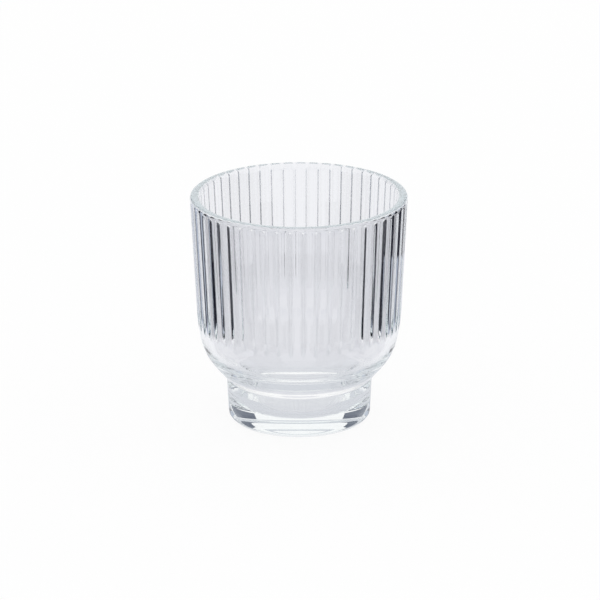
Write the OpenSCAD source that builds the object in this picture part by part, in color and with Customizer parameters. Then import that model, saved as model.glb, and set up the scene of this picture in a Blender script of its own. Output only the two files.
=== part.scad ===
// Stemless drinking glass for tea: a ribbed bowl that steps in to a narrow plain foot.
// One pressed piece of glass. The origin is the centre of the foot's resting plane, +Z is up.
// All lengths are millimetres and all angles are degrees.

/* [Overall] */
// Outside diameter at the rim
rim_diameter = 84; // [60:0.5:110]
// Height from the table to the rim
glass_height = 90; // [70:0.5:120]

/* [Bowl outside] */
// Lean of the straight wall away from upright
wall_taper = 2.84; // [1.5:0.02:4.5]
// Height where the straight wall ends and the shoulder starts
shoulder_top = 43.5; // [40:0.5:50]
// Radius of the gentle upper curve of the shoulder, seen from the side
upper_curve = 68.3; // [60:0.1:75]
// Lean of the wall where the gentle curve gives way to the tight one
curve_change = 12.6; // [10:0.1:16]
// Radius of the tight lower curve of the shoulder
lower_curve = 22.8; // [20:0.1:25]
// Lean of the short straight cone under the shoulder
cone_lean = 40.5; // [36:0.5:44]

/* [Foot] */
// Height of the foot up to the crease under the bowl
foot_height = 17.1; // [15:0.1:19]
// How far the foot's side stands in from the rim, just under the crease
foot_inset = 13.64; // [13.4:0.02:16]
// Lean of the foot's side
foot_taper = 2.9; // [0.5:0.1:5]
// Rounding of the foot's bottom edge
foot_edge_round = 2.15; // [1:0.05:4]
// Width of the flat ring that the glass stands on
standing_ring = 3.6; // [2:0.1:8]
// Depth at its middle of the shallow hollow inside that ring
hollow_depth = 1.6; // [0.8:0.1:2.6]

/* [Wall, inside and rim] */
// Thickness of the wall, measured to the tops of the ribs
wall_thickness = 3.8; // [2.8:0.1:4.2]
// Radius of the tight curve at the bottom of the bowl's inside
inner_lower_curve = 14; // [12:0.1:20]
// Lean of the inside's short cone above the well
inner_cone_lean = 51; // [42:0.5:56]
// Thickness of the glass under the middle of the floor
floor_height = 5.4; // [4:0.1:9]
// Glass between the foot's side and the narrow well inside it, at the well's mouth
foot_wall = 4.6; // [3.8:0.1:7]
// Lean of the well's side
well_taper = 18; // [8:0.5:24]
// Rounding between the well's side and the floor
floor_round = 7.4; // [3:0.1:9]
// Rounding where the bowl runs into the well
well_mouth_round = 7; // [3:0.1:9]
// Rounding of the rim's outer edge
rim_outer_round = 1.2; // [0.6:0.05:1.5]
// Rounding of the rim's inner edge
rim_inner_round = 1.6; // [0.6:0.05:1.9]

/* [Ribs] */
// Number of raised ribs around the bowl, with a groove between each two
rib_count = 52; // [24:1:64]
// Depth of each groove below the tops of the ribs
groove_depth = 0.9; // [0.4:0.05:1.1]
// Flat left on top of each rib, measured where the straight wall ends
rib_flat = 1.4; // [0.4:0.05:1.6]
// Plain band between the rim and the tops of the grooves
plain_band = 1.4; // [1.3:0.1:8]
// Length of the slope in which each groove runs out at its top
groove_top_run = 1.6; // [0.8:0.1:4]
// Height where the grooves have run out on the shoulder
groove_end = 36.5; // [34:0.5:40]
// Length of the slope in which each groove runs out there
groove_low_run = 8; // [3:0.5:12]
// Turn of the first groove away from the +X axis, as a share of one rib
groove_turn_share = 0.33; // [0:0.01:1]

/* [Hidden] */
glass_colour = [0.90, 0.95, 0.95, 0.35];
curve_segments = 120;
groove_segments = 48;
// Each rounding in the outline is a chain of this many narrow cones
small_steps = 6;
large_steps = 7;
gentle_steps = 4;
// The gentle curve's first point is the tight curve's last, so it starts one step on
gentle_start = -curve_change + (curve_change - wall_taper) / (gentle_steps + 1);
full_turn = 360;
right_angle = full_turn / 4;
half_turn = full_turn / 2;
// Every cut runs past the surface that it opens by this much
cut_overrun = glass_height / 45;
rim_radius = rim_diameter / 2;

// Outside: straight wall, two arcs that run on from it, then a cone down to the foot
wall_end = [rim_radius - (glass_height - shoulder_top) * tan(wall_taper), shoulder_top];
upper_centre = wall_end - upper_curve * [cos(wall_taper), -sin(wall_taper)];
curve_meet = upper_centre + upper_curve * [cos(curve_change), -sin(curve_change)];
lower_centre = curve_meet - lower_curve * [cos(curve_change), -sin(curve_change)];
cone_top = lower_centre + lower_curve * [cos(cone_lean), -sin(cone_lean)];
cone_foot = [cone_top[0] - (cone_top[1] - foot_height) * tan(cone_lean), foot_height];
foot_top_radius = rim_radius - foot_inset;
foot_reach = foot_edge_round + (foot_height - foot_edge_round) * sin(foot_taper);
edge_centre = [foot_top_radius - foot_reach / cos(foot_taper), foot_edge_round];
hollow_radius = edge_centre[0] - standing_ring;

// Rim: a small rounding outside, a larger one inside and a short flat between them
outer_reach = (rim_outer_round + rim_outer_round * sin(wall_taper)) / cos(wall_taper);
rim_out_centre = [rim_radius - outer_reach, glass_height - rim_outer_round];
inner_rim_radius = rim_radius - wall_thickness / cos(wall_taper);
inner_reach = (rim_inner_round - rim_inner_round * sin(wall_taper)) / cos(wall_taper);
rim_in_centre = [inner_rim_radius + inner_reach, glass_height - rim_inner_round];

// Inside: the outside line moved in by the wall's thickness, then the well
in_upper_curve = upper_curve - wall_thickness;
in_curve_shift = upper_curve - wall_thickness - inner_lower_curve;
in_lower_centre = upper_centre + in_curve_shift * [cos(curve_change), -sin(curve_change)];
in_cone_top = in_lower_centre + inner_lower_curve * [cos(inner_cone_lean), -sin(inner_cone_lean)];

// The well's side leans from its mouth; the mouth's rounding sits in the glass, so both
// its contacts are found by solving the two offset lines for their crossing
well_radius = foot_top_radius - foot_wall;
line_sine = sin(inner_cone_lean - well_taper);
cone_base = in_cone_top + well_mouth_round * [cos(inner_cone_lean), -sin(inner_cone_lean)];
well_out = well_mouth_round * [cos(well_taper), -sin(well_taper)];
well_base = [well_radius, foot_height] + well_out;
base_gap = cone_base - well_base;
along_cone = (base_gap[0] * cos(well_taper) - base_gap[1] * sin(well_taper)) / line_sine;
mouth_centre = cone_base - along_cone * [sin(inner_cone_lean), cos(inner_cone_lean)];
floor_centre_height = floor_height + floor_round;
well_side_radius = well_radius - (foot_height - floor_centre_height) * tan(well_taper);
floor_centre = [well_side_radius - floor_round / cos(well_taper), floor_centre_height];

// Grooves: each side is a round that meets the rib's flat top, and two of them meet at the
// groove's bottom, measured where the straight wall ends and the ribs are narrowest
groove_half = wall_end[0] * sin(half_turn / rib_count) - rib_flat / 2;
groove_round = (groove_depth * groove_depth + groove_half * groove_half) / (2 * groove_depth);
// Lengths along the wall from the rim's plane, and the slopes of both run-outs
groove_start = -plain_band / cos(wall_taper);
groove_stop = -(glass_height - groove_end) / cos(wall_taper);
top_slope = groove_top_run / groove_depth;
low_slope = groove_low_run / groove_depth;

// Points along an arc from one direction to another, both ends included
function arc(centre, radius, from, to, steps) = [
    for (step = [0 : steps])
        let (facing = from + (to - from) * step / steps)
            centre + radius * [cos(facing), sin(facing)]
];

// Half of the outside shape, up to the rim
module outside_half() {
    polygon(concat(
        [[0, 0]],
        arc(edge_centre, foot_edge_round, -right_angle, -foot_taper, small_steps),
        [[foot_top_radius, foot_height], cone_foot],
        arc(lower_centre, lower_curve, -cone_lean, -curve_change, large_steps),
        arc(upper_centre, upper_curve, gentle_start, -wall_taper, gentle_steps),
        arc(rim_out_centre, rim_outer_round, -wall_taper, right_angle, small_steps),
        [[0, glass_height]]
    ));
}

// Half of the room inside, from the floor out through the mouth
module inside_half() {
    polygon(concat(
        [[0, floor_height]],
        arc(floor_centre, floor_round, -right_angle, -well_taper, small_steps),
        arc(mouth_centre, well_mouth_round, half_turn - well_taper, half_turn - inner_cone_lean, small_steps),
        arc(in_lower_centre, inner_lower_curve, -inner_cone_lean, -curve_change, large_steps),
        arc(upper_centre, in_upper_curve, gentle_start, -wall_taper, gentle_steps),
        arc(rim_in_centre, rim_inner_round, half_turn - wall_taper, right_angle, small_steps),
        [
            [rim_in_centre[0], glass_height + cut_overrun],
            [0, glass_height + cut_overrun]
        ]
    ));
}

// A groove seen along the wall: what lies between the rounded sides of two ribs
module groove_section() {
    difference() {
        translate([-groove_round, -groove_half])
            square([groove_round + cut_overrun, 2 * groove_half]);
        for (side = [-1, 1])
            translate([-groove_round, side * groove_half])
                circle(r = groove_round, $fn = groove_segments);
    }
}

// A groove seen from the side: it slopes out to the wall at its top and at its foot
module groove_length() {
    polygon([
        [-groove_round, groove_start - groove_round * top_slope],
        [cut_overrun, groove_start + cut_overrun * top_slope],
        [cut_overrun, groove_stop - cut_overrun * low_slope],
        [-groove_round, groove_stop + groove_round * low_slope]
    ]);
}

// One groove, laid along the wall
module groove() {
    translate([rim_radius, 0, glass_height])
        rotate([0, wall_taper, 0])
            intersection() {
                translate([0, 0, -glass_height])
                    linear_extrude(height = glass_height + cut_overrun * top_slope) groove_section();
                rotate([right_angle, 0, 0])
                    linear_extrude(height = 2 * groove_half, center = true) groove_length();
            }
}

// The shallow hollow that leaves a ring for the glass to stand on
module foot_hollow() {
    ball_radius = (pow(hollow_radius, 2) + pow(hollow_depth, 2)) / (2 * hollow_depth);
    translate([0, 0, hollow_depth - ball_radius])
        sphere(r = ball_radius, $fn = curve_segments);
}

module glass() {
    color(glass_colour)
        difference() {
            rotate_extrude($fn = curve_segments) outside_half();
            rotate_extrude($fn = curve_segments) inside_half();
            for (turn = [0 : rib_count - 1])
                rotate([0, 0, (turn + groove_turn_share) * full_turn / rib_count])
                    groove();
            foot_hollow();
        }
}

glass();
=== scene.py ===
import math
import bpy
import numpy as np
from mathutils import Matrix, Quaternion, Vector


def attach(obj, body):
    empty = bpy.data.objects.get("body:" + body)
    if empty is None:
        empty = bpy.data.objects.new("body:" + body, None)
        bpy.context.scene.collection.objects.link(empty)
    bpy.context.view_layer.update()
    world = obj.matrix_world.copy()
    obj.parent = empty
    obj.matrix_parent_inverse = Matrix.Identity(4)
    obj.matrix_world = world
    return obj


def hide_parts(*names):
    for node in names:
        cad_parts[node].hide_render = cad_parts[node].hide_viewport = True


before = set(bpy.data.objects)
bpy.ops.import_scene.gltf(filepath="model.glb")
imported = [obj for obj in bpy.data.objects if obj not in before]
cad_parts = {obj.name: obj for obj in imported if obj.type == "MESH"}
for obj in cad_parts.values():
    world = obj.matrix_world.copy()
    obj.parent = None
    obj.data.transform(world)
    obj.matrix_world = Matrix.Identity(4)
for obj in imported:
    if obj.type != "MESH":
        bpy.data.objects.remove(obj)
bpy.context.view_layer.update()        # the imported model: one solid, the glass

scene = bpy.context.scene
mm = 0.001               # shapes are worked out in millimetres, meshes are in metres


# the glass: what a user would change about its shape, in millimetres and degrees
glassShape = dict(
    rimRadius=42.0,          # where the wall line meets the top plane
    height=90.0,
    wallLean=2.84,           # of the straight wall away from upright
    shoulderTop=43.5,        # where the straight wall ends
    upperCurve=68.3,         # gentle curve of the shoulder
    curveChange=12.6,        # lean where the tight curve takes over
    lowerCurve=22.8,
    coneLean=40.5,           # of the short cone above the foot
    footHeight=17.1,
    footInset=13.64,         # the foot's side stands in from the rim by this
    footLean=2.9,
    footEdge=2.15,           # rounding of the bottom edge
    creaseSoft=0.5,          # how far the crease above the foot is softened
    ring=3.6,                # flat ring that it stands on
    hollow=1.6,              # depth of the hollow inside the ring
    wall=3.8,                # thickness, measured to the tops of the ribs
    innerCurve=14.0,         # tight curve at the bottom of the bowl's inside
    innerLean=51.0,          # of the inside's cone above the well
    floor=5.4,               # glass under the middle of the floor
    footWall=4.6,            # glass beside the well's mouth
    wellLean=18.0,
    wellRound=7.4,           # between the well's side and its floor
    mouthRound=7.0,          # where the bowl runs into the well
    rimOuter=1.2,
    rimInner=1.6,
    ribs=52,
    grooveDepth=0.9,
    ribFlat=1.4,             # flat left on top of each rib at the foot of the straight wall
    ribTurn=0.83,            # of the first rib away from +X, as a share of one rib
    grooveSoft=0.10,         # how far the bottom of a groove is rounded out
    endSoft=0.12,            # the same where a groove runs out
    plainBand=1.4,           # between the rim and the tops of the grooves
    topRun=1.6,              # length in which a groove runs out at its top
    grooveEnd=36.5,          # height where the grooves have run out on the shoulder
    lowRun=8.0,              # length in which they do
    perRib=16,               # columns of the mesh over one rib
    crowding=0.6,            # how far they draw together in the grooves, from 0 to 1
    perInside=4,             # outer columns for each column of the inside
)

# what the glass is made of, in metres
glassFinish = dict(
    ior=1.52,
    clear=(1.0, 1.0, 1.0, 1.0),
    tint=(0.84, 0.92, 0.93, 1.0),
    density=6.0,             # of the tint, per metre
    waveHeight=0.006 * mm,   # faint waves left by the mould
    waveSize=7.0 * mm,
    waveStretch=0.22,        # they are drawn out along the height
    waveDetail=2.0,
    waveRoughness=0.45,
    ringWear=0.28,           # roughness of the worn ring underneath
    ringHeight=0.25 * mm,    # how far up the wear reaches
    wearLeast=0.4,           # share of the wear that is everywhere, the scuffs add the rest
    scuffScale=900.0,        # scuffs in a metre
    scuffDetail=4.0,
    scuffRoughness=0.6,
)

# table and light, in metres
stage = dict(
    size=4.0,
    white=(1.0, 1.0, 1.0, 1.0),
    lit=(0.92, 0.92, 0.92, 1.0),            # the table's own colour
    litRoughness=0.9,
    # painted shade: rays through the glass see the table in these set tones instead of its lit
    # shading, darker through more glass, with a painted shadow under the foot
    paintedShadeOnce=(0.89, 0.897, 0.93, 1.0),      # the open table's tone through one wall of glass
    onceDepth=3.0,                          # surfaces of glass that end it: one wall has two
    paintedShadeThrough=(0.75, 0.757, 0.805, 1.0),  # its tone through more glass
    paintedShadowUnder=(0.68, 0.70, 0.745, 1.0),     # its tone under the foot
    paintedShadowReach=0.034,                        # how far that goes from the middle
    paintedShadowFade=0.02,                          # and the width in which it fades out
    shadowShare=0.08,                       # of the lit table in what the camera sees
    skyStrength=1.0,
    deepLight=32,                           # bounces, light runs a long way inside the rim
)

# painted reflections: dark and bluish sheets, seen only where the ribs mirror them, that paint
# the stripes in the glass; sides are -1 left and 1 right, start and end are directions in degrees
# from straight behind, away is the distance, low and high the edges
black = (0.008, 0.009, 0.018, 1.0)
slate = (0.13, 0.15, 0.195, 1.0)
dusk = (0.30, 0.35, 0.45, 1.0)
haze = (0.45, 0.50, 0.60, 1.0)
paintedReflections = dict(
    steps=13,                # points along each sheet
    sheets=(
        dict(sides=(-1, 1), start=70, end=100, away=0.10, low=0.0, high=0.10, tone=black),
        dict(sides=(-1, 1), start=100, end=122, away=0.10, low=0.0, high=0.065, tone=black),
        dict(sides=(-1, 1), start=122, end=140, away=0.10, low=0.0, high=0.045, tone=black),
        dict(sides=(-1, 1), start=140, end=170, away=0.10, low=0.0, high=0.022, tone=black),
        dict(sides=(-1, 1), start=140, end=170, away=0.10, low=0.06, high=0.10, tone=dusk),
        dict(sides=(-1, 1), start=56, end=70, away=0.10, low=0.0, high=0.04, tone=haze),
        dict(sides=(-1,), start=56, end=70, away=0.10, low=0.04, high=0.10, tone=haze),
        dict(sides=(1,), start=56, end=70, away=0.10, low=0.04, high=0.10, tone=black),
        dict(sides=(-1, 1), start=26, end=62, away=0.45, low=0.10, high=0.40, tone=slate),
    ),
)

# camera of the picture
cameraPlace = dict(
    lens=244.65,
    sensor=36.0,
    distance=1.582,
    elevation=19.544,
    roll=-0.2,
    aim=(0.00035, 0.0, 0.04688),
    nearest=0.05,            # what it can see begins and ends here
    farthest=50.0,
)


# outlines in the plane of radius and height

def lean(angle):
    # unit step out of the glass from a wall that leans by angle: (cos, -sin)
    return np.array([math.cos(math.radians(angle)), -math.sin(math.radians(angle))])


def arc(centre, radius, start, end, steps):
    # centre + radius * (cos t, sin t) for t from start to end, the first point left out
    t = np.radians(np.linspace(start, end, steps + 1)[1:])
    return centre + radius * np.stack([np.cos(t), np.sin(t)], -1)


def straight(start, end, shares):
    # start + (end - start) * share for each share
    s = np.asarray(shares, float)[:, None]
    return np.asarray(start) * (1 - s) + np.asarray(end) * s


def softCorner(start, corner, end, steps):
    # quadratic curve: start (1-t)^2 + 2 corner t (1-t) + end t^2, the first point left out
    t = np.linspace(0, 1, steps + 1)[1:, None]
    return start * (1 - t) ** 2 + 2 * corner * t * (1 - t) + end * t ** 2


def outlines(g):
    # outside from the hollow's middle up to the rim, inside from the rim down to the floor.
    # On a straight stretch a row close to each end keeps its shading flat
    tan = lambda a: math.tan(math.radians(a))
    cos = lambda a: math.cos(math.radians(a))
    sin = lambda a: math.sin(math.radians(a))
    wallEnd = np.array([g["rimRadius"] - (g["height"] - g["shoulderTop"]) * tan(g["wallLean"]),
                        g["shoulderTop"]])
    upperMiddle = wallEnd - g["upperCurve"] * lean(g["wallLean"])
    curveMeet = upperMiddle + g["upperCurve"] * lean(g["curveChange"])
    lowerMiddle = curveMeet - g["lowerCurve"] * lean(g["curveChange"])
    coneTop = lowerMiddle + g["lowerCurve"] * lean(g["coneLean"])
    footTop = np.array([g["rimRadius"] - g["footInset"], g["footHeight"]])
    crease = np.array([coneTop[0] - (coneTop[1] - g["footHeight"]) * tan(g["coneLean"]),
                       g["footHeight"]])
    edgeRise = g["footEdge"] + (g["footHeight"] - g["footEdge"]) * sin(g["footLean"])
    edgeMiddle = np.array([footTop[0] - edgeRise / cos(g["footLean"]), g["footEdge"]])
    footSideEnd = edgeMiddle + g["footEdge"] * lean(g["footLean"])
    hollowRadius = edgeMiddle[0] - g["ring"]
    ball = (hollowRadius ** 2 + g["hollow"] ** 2) / (2 * g["hollow"])
    ballHalf = math.degrees(math.asin(hollowRadius / ball))
    outReach = g["rimOuter"] * (1 + sin(g["wallLean"])) / cos(g["wallLean"])
    outMiddle = np.array([g["rimRadius"] - outReach, g["height"] - g["rimOuter"]])
    outStart = outMiddle + g["rimOuter"] * lean(g["wallLean"])
    inRim = g["rimRadius"] - g["wall"] / cos(g["wallLean"])
    inReach = g["rimInner"] * (1 - sin(g["wallLean"])) / cos(g["wallLean"])
    inMiddle = np.array([inRim + inReach, g["height"] - g["rimInner"]])
    inEnd = inMiddle - g["rimInner"] * lean(g["wallLean"])

    up = np.array([sin(g["footLean"]), cos(g["footLean"])])
    alongCone = np.array([sin(g["coneLean"]), cos(g["coneLean"])])
    soft = g["creaseSoft"]
    topRows = np.linspace(0.905, 0.995, 19)     # they crowd where the grooves run out at the rim
    wallRows = np.r_[0.01, 0.025, 0.05, 0.3, 0.6, 0.88, topRows, 1]
    outside = [
        arc(np.array([0, g["hollow"] - ball]), ball, 90, 90 - ballHalf, 8),
        straight([hollowRadius, 0], [edgeMiddle[0], 0], [0.04, 0.5, 0.96, 1]),
        arc(edgeMiddle, g["footEdge"], -90, -g["footLean"], 9),
        straight(footSideEnd, footTop - soft * up, [0.03, 0.5, 0.97, 1]),
        softCorner(footTop - soft * up, crease, crease + soft * alongCone, 5),
        straight(crease + soft * alongCone, coneTop, [0.05, 0.5, 0.95, 1]),
        arc(lowerMiddle, g["lowerCurve"], -g["coneLean"], -g["curveChange"], 9),
        arc(upperMiddle, g["upperCurve"], -g["curveChange"], -g["wallLean"], 10),
        straight(wallEnd, outStart, wallRows),
        arc(outMiddle, g["rimOuter"], -g["wallLean"], 90, 8),
    ]

    # the inside follows the outside at the wall's thickness, then turns down into the well
    upperIn = g["upperCurve"] - g["wall"]
    bowlMiddle = upperMiddle + (upperIn - g["innerCurve"]) * lean(g["curveChange"])
    inConeTop = bowlMiddle + g["innerCurve"] * lean(g["innerLean"])
    wellMouth = np.array([footTop[0] - g["footWall"], g["footHeight"]])
    alongInner = np.array([sin(g["innerLean"]), cos(g["innerLean"])])
    coneBase = inConeTop + g["mouthRound"] * lean(g["innerLean"])
    wellBase = wellMouth + g["mouthRound"] * lean(g["wellLean"])
    gap = coneBase - wellBase
    across = gap[0] * cos(g["wellLean"]) - gap[1] * sin(g["wellLean"])
    down = across / sin(g["innerLean"] - g["wellLean"])
    mouthMiddle = coneBase - down * alongInner
    roundHeight = g["floor"] + g["wellRound"]
    roundMiddle = np.array([wellMouth[0] - (g["footHeight"] - roundHeight) * tan(g["wellLean"])
                            - g["wellRound"] / cos(g["wellLean"]), roundHeight])
    inside = [
        np.array([[inMiddle[0], g["height"]]]),
        arc(inMiddle, g["rimInner"], 90, 180 - g["wallLean"], 8),
        straight(inEnd, wallEnd - g["wall"] * lean(g["wallLean"]), [0.02, 0.5, 0.98, 1]),
        arc(upperMiddle, upperIn, -g["wallLean"], -g["curveChange"], 8),
        arc(bowlMiddle, g["innerCurve"], -g["curveChange"], -g["innerLean"], 9),
        straight(inConeTop, mouthMiddle - g["mouthRound"] * lean(g["innerLean"]), [0.1, 0.9, 1]),
        arc(mouthMiddle, g["mouthRound"], 180 - g["innerLean"], 180 - g["wellLean"], 9),
        straight(mouthMiddle - g["mouthRound"] * lean(g["wellLean"]),
                 roundMiddle + g["wellRound"] * lean(g["wellLean"]), [0.2, 0.8, 1]),
        arc(roundMiddle, g["wellRound"], -g["wellLean"], -90, 12),
        straight([roundMiddle[0], g["floor"]], [0, g["floor"]], [0.04, 0.3, 0.65]),
    ]
    return np.concatenate(outside), np.concatenate(inside), wallEnd[0]


def columns(g):
    # angles round the glass, closer together in the grooves: over one rib they lie at
    # s - crowding * sin(2 pi s) / (2 pi), where s runs evenly from 0 to 1
    s = np.arange(g["perRib"]) / g["perRib"]
    warped = s - g["crowding"] * np.sin(2 * math.pi * s) / (2 * math.pi)
    share = (np.arange(g["ribs"])[:, None] + warped[None]).ravel()
    return (share - 0.5 + g["ribTurn"]) * 2 * math.pi / g["ribs"]


def softLeast(a, b, soft):
    # the lesser of two values, joined smoothly: (a + b - sqrt((a - b)^2 + soft^2)) / 2
    return (a + b - np.sqrt((a - b) ** 2 + soft ** 2)) / 2


def ribbed(g, outside, wallEndRadius, angles):
    # radius of the outside: the lesser of the plain outline and the grooves between the ribs.
    # A groove's side is a round of radius side that meets the rib's flat top: at y across from
    # the groove's middle its depth is side - sqrt(side^2 - (span - y)^2), where span is half
    # the groove's width. At both ends the depth is held under a straight ramp
    half = math.pi / g["ribs"]
    span = wallEndRadius * math.sin(half) - g["ribFlat"] / 2
    side = (g["grooveDepth"] ** 2 + span ** 2) / (2 * g["grooveDepth"])
    slope = math.radians(g["wallLean"])
    ribPlace = (angles / (2 * half) - g["ribTurn"] + 0.5) % 1.0 - 0.5   # 0 on the middle of a rib
    off = (half - np.abs(ribPlace) * 2 * half)[None]     # turn away from the groove's middle
    r, z = outside[:, :1], outside[:, 1:]
    wallLine = g["rimRadius"] - (g["height"] - z) * math.tan(slope)
    y = np.sqrt((wallLine * np.sin(off)) ** 2 + g["grooveSoft"] ** 2)
    depth = side - np.sqrt(side ** 2 - np.maximum(span - y, 0) ** 2)
    top = (g["height"] - g["plainBand"] - z) * g["grooveDepth"] / g["topRun"]
    low = (z - g["grooveEnd"]) * g["grooveDepth"] / g["lowRun"]
    ramp = np.maximum(softLeast(top, low, g["endSoft"]), 0)
    depth = np.maximum(softLeast(depth, ramp, g["endSoft"]), 0)
    return np.minimum(r, (wallLine - depth / math.cos(slope)) / np.cos(off))


def turned(radius, heights, angles):
    # (r cos t, r sin t, z) for each row of the outline and each column of turn
    r = np.broadcast_to(radius, (len(heights), len(angles)))
    z = np.broadcast_to(heights[:, None], r.shape)
    return np.stack([r * np.cos(angles), r * np.sin(angles), z], -1)


def ringFaces(rows, count, first):
    # quads between neighbouring rows of a closed grid whose vertices start at first
    i = np.arange(rows - 1)[:, None] * count
    j = np.arange(count)[None]
    n = (j + 1) % count
    quads = np.stack([i + j, i + n, i + count + n, i + count + j], -1)
    return (quads.reshape(-1, 4) + first).tolist()


def poleFaces(count, first, pole, flip):
    # triangles from one ring to the single vertex in its middle
    j = np.arange(count)
    n = (j + 1) % count
    ends = (n, j) if flip else (j, n)
    return np.stack([np.full(count, pole), ends[0] + first, ends[1] + first], -1).tolist()


def joinFaces(count, per, outer, inner):
    # flat faces on top of the rim: per edges of the outer ring to one edge of the inner
    j = np.arange(count // per)[:, None]
    outerSide = (j * per + np.arange(per + 1)[None]) % count + outer
    innerSide = np.concatenate([(j + 1) % (count // per), j], 1) + inner
    return np.concatenate([outerSide, innerSide], 1).tolist()


def makeGlass(g):
    outside, inside, wallEndRadius = outlines(g)
    angles = columns(g)
    inAngles = angles[::g["perInside"]]
    outGrid = turned(ribbed(g, outside, wallEndRadius, angles), outside[:, 1], angles)
    inGrid = turned(inside[:, :1], inside[:, 1], inAngles)
    poles = np.array([[0, 0, g["hollow"]], [0, 0, g["floor"]]])
    points = np.concatenate([outGrid.reshape(-1, 3), inGrid.reshape(-1, 3), poles]) * mm
    outCount, inCount = len(angles), len(inAngles)
    outEnd = len(outside) * outCount
    inEnd = outEnd + len(inside) * inCount
    faces = (ringFaces(len(outside), outCount, 0)
             + ringFaces(len(inside), inCount, outEnd)
             + joinFaces(outCount, g["perInside"], outEnd - outCount, outEnd)
             + poleFaces(outCount, 0, inEnd, True)
             + poleFaces(inCount, inEnd - inCount, inEnd + 1, False))
    mesh = bpy.data.meshes.new("drinkingGlass")
    mesh.from_pydata(points.tolist(), [], faces)
    mesh.update()
    mesh.polygons.foreach_set("use_smooth", np.ones(len(mesh.polygons), bool))
    made = bpy.data.objects.new("drinkingGlass", mesh)
    scene.collection.objects.link(made)
    print("glass made,", sum(len(p.vertices) - 2 for p in mesh.polygons), "triangles")
    return made


# materials: a wire is a socket that can be used in plain sums

class Wire:
    def __init__(self, tree, socket):
        self.tree = tree
        self.socket = socket

    def math(self, operation, other=None, turnRound=False):
        added = self.tree.nodes.new("ShaderNodeMath")
        added.operation = operation
        values = [self] if other is None else ([other, self] if turnRound else [self, other])
        for place, value in enumerate(values):
            feed(self.tree, added.inputs[place], value)
        return Wire(self.tree, added.outputs[0])

    def __add__(self, other): return self.math("ADD", other)
    def __radd__(self, other): return self.math("ADD", other, True)
    def __sub__(self, other): return self.math("SUBTRACT", other)
    def __rsub__(self, other): return self.math("SUBTRACT", other, True)
    def __mul__(self, other): return self.math("MULTIPLY", other)
    def __rmul__(self, other): return self.math("MULTIPLY", other, True)
    def __truediv__(self, other): return self.math("DIVIDE", other)
    def __rtruediv__(self, other): return self.math("DIVIDE", other, True)
    def clamped(self): return self.math("MAXIMUM", 0.0).math("MINIMUM", 1.0)


def feed(tree, socket, value):
    # a link where the value is a wire, else the socket's own number or colour
    if isinstance(value, Wire):
        tree.links.new(value.socket, socket)
    else:
        socket.default_value = value


def node(tree, kind, settings=None, inputs=None, output=0):
    made = tree.nodes.new("ShaderNode" + kind)
    for name, value in (settings or {}).items():
        setattr(made, name, value)
    for name, value in (inputs or {}).items():
        feed(tree, made.inputs[name], value)
    return Wire(tree, made.outputs[output]) if len(made.outputs) else None


def mixColours(tree, factor, low, high):
    # the colour Mix node keeps its colour sockets at places 6 and 7, its result at 2
    return node(tree, "Mix", {"data_type": "RGBA"}, {0: factor, 6: low, 7: high}, 2)


def emptyMaterial(name):
    made = bpy.data.materials.new(name)
    made.use_nodes = True
    made.node_tree.nodes.clear()
    return made, made.node_tree


def clearGlass(f):
    made, tree = emptyMaterial("clearPressedGlass")
    place = node(tree, "TexCoord", output="Object")
    height = node(tree, "SeparateXYZ", inputs={0: place}, output="Z")
    drawn = node(tree, "Mapping", inputs={"Vector": place, "Scale": (1.0, 1.0, f["waveStretch"])})
    waves = node(tree, "TexNoise", {"noise_dimensions": "3D"},
                 {"Vector": drawn, "Scale": 1 / f["waveSize"],
                  "Detail": f["waveDetail"], "Roughness": f["waveRoughness"]})
    bump = node(tree, "Bump",
                inputs={"Height": waves, "Strength": 1.0, "Distance": f["waveHeight"]})
    scuffs = node(tree, "TexNoise", {"noise_dimensions": "3D"},
                  {"Vector": place, "Scale": f["scuffScale"],
                   "Detail": f["scuffDetail"], "Roughness": f["scuffRoughness"]})
    under = (1 - height / f["ringHeight"]).clamped()
    worn = under * (f["wearLeast"] + (1 - f["wearLeast"]) * scuffs) * f["ringWear"]
    shader = node(tree, "BsdfPrincipled",
                  inputs={"Base Color": f["clear"], "Roughness": worn, "IOR": f["ior"],
                          "Transmission Weight": 1.0, "Normal": bump})
    depth = node(tree, "VolumeAbsorption", inputs={"Color": f["tint"], "Density": f["density"]})
    node(tree, "OutputMaterial", inputs={"Surface": shader, "Volume": depth})
    return made


def tableTop(s):
    # lit table with its shadow, mixed with even white for camera rays and with painted shade for
    # rays from the glass
    made, tree = emptyMaterial("paleTable")
    path = tree.nodes.new("ShaderNodeLightPath")
    fromCamera = Wire(tree, path.outputs["Is Camera Ray"])
    mirrored = Wire(tree, path.outputs["Is Glossy Ray"])
    passed = Wire(tree, path.outputs["Is Transmission Ray"])
    place = node(tree, "TexCoord", output="Object")
    away = node(tree, "VectorMath", {"operation": "LENGTH"}, {0: place}, 1)
    # painted shadow under the foot, and painted shade that deepens through more glass
    clear = ((away - s["paintedShadowReach"]) / s["paintedShadowFade"]).clamped()
    once = (s["onceDepth"] - Wire(tree, path.outputs["Transmission Depth"])).clamped() * clear
    behind = mixColours(tree, clear, s["paintedShadowUnder"], s["paintedShadeThrough"])
    through = mixColours(tree, once, behind, s["paintedShadeOnce"])
    tone = mixColours(tree, fromCamera, through, s["white"])
    lit = node(tree, "BsdfPrincipled",
               inputs={"Base Color": s["lit"], "Roughness": s["litRoughness"]})
    glow = node(tree, "Emission", inputs={"Color": tone, "Strength": 1.0})
    share = (fromCamera + (mirrored + passed)).clamped() * (1 - s["shadowShare"])
    both = node(tree, "MixShader", inputs={0: share, 1: lit, 2: glow})
    node(tree, "OutputMaterial", inputs={"Surface": both})
    return made


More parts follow.
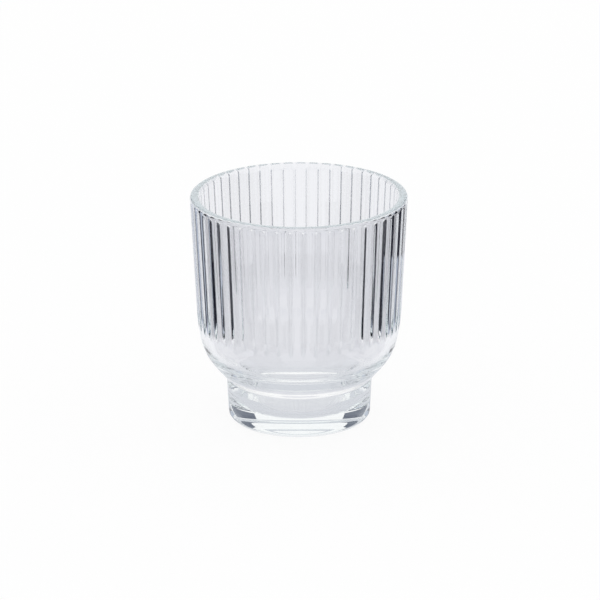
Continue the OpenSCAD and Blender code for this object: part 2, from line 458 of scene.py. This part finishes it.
def paintedReflectionDark(tone):
    # painted reflection: toned to light that has been mirrored in the glass, clear to all other
    # light
    made, tree = emptyMaterial("paintedReflectionDark")
    path = tree.nodes.new("ShaderNodeLightPath")
    mirrored = Wire(tree, path.outputs["Glossy Depth"]).clamped()
    dark = node(tree, "Emission", inputs={"Color": tone, "Strength": 1.0})
    clear = node(tree, "BsdfTransparent")
    both = node(tree, "MixShader", inputs={0: mirrored, 1: clear, 2: dark})
    node(tree, "OutputMaterial", inputs={"Surface": both})
    return made


def sheetMesh(name, grid):
    # an open grid of points as one flat or bent sheet
    rows, count = grid.shape[:2]
    i = np.arange(rows - 1)[:, None] * count
    j = np.arange(count - 1)[None]
    quads = np.stack([i + j, i + j + 1, i + count + j + 1, i + count + j], -1)
    mesh = bpy.data.meshes.new(name)
    mesh.from_pydata(grid.reshape(-1, 3).tolist(), [], quads.reshape(-1, 4).tolist())
    mesh.update()
    made = bpy.data.objects.new(name, mesh)
    scene.collection.objects.link(made)
    return made


def makeTable(s):
    # a flat square: (u size, v size, 0) for u and v from -0.5 to 0.5
    u, v = np.meshgrid(np.linspace(-0.5, 0.5, 3), np.linspace(-0.5, 0.5, 3))
    table = sheetMesh("tableTop", np.stack([u * s["size"], v * s["size"], 0 * u], -1))
    table.data.materials.append(tableTop(s))


def makePaintedReflections(f):
    # sheets of painted reflection bent round the glass: (away sin t, away cos t, z)
    for sheet in f["sheets"]:
        material = paintedReflectionDark(sheet["tone"])
        for side in sheet["sides"]:
            t = np.radians(np.linspace(sheet["start"], sheet["end"], f["steps"])) * side
            t, z = np.meshgrid(t, [sheet["low"], sheet["high"]])
            away = sheet["away"]
            paintedSheet = sheetMesh("paintedReflectionSheet", np.stack([away * np.sin(t), away * np.cos(t), z], -1))
            paintedSheet.data.materials.append(material)
            # seen only in reflections, where they paint dark stripes
            paintedSheet.visible_camera = False
            paintedSheet.visible_shadow = False
            paintedSheet.visible_diffuse = False


def makeSky(s):
    world = bpy.data.worlds.new("softStudio")
    scene.world = world
    world.use_nodes = True
    back = world.node_tree.nodes["Background"]
    back.inputs["Color"].default_value = s["white"]
    back.inputs["Strength"].default_value = s["skyStrength"]


def makeCamera(c):
    # it stands back from the aim by the distance and looks down by the elevation
    made = bpy.data.objects.new("camera", bpy.data.cameras.new("camera"))
    scene.collection.objects.link(made)
    scene.camera = made
    made.data.lens = c["lens"]
    made.data.sensor_width = c["sensor"]
    made.data.clip_start = c["nearest"]
    made.data.clip_end = c["farthest"]
    tilt = math.radians(c["elevation"])
    back = Vector((0, -math.cos(tilt), math.sin(tilt)))
    facing = (-back).to_track_quat("-Z", "Y")
    made.location = Vector(c["aim"]) + back * c["distance"]
    made.rotation_mode = "QUATERNION"
    made.rotation_quaternion = Quaternion(back, math.radians(c["roll"])) @ facing


makeCamera(cameraPlace)
drinkingGlass = makeGlass(glassShape)
drinkingGlass.data.materials.append(clearGlass(glassFinish))
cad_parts["glass"].data.materials.clear()
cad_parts["glass"].data.materials.append(drinkingGlass.data.materials[0])
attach(drinkingGlass, "root")
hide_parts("glass")
print("glass finished")

makeTable(stage)
makePaintedReflections(paintedReflections)
makeSky(stage)
scene.view_settings.view_transform = "Standard"
scene.cycles.max_bounces = stage["deepLight"]
scene.cycles.transmission_bounces = stage["deepLight"]
scene.cycles.glossy_bounces = stage["deepLight"]
print("table, flags and sky made")
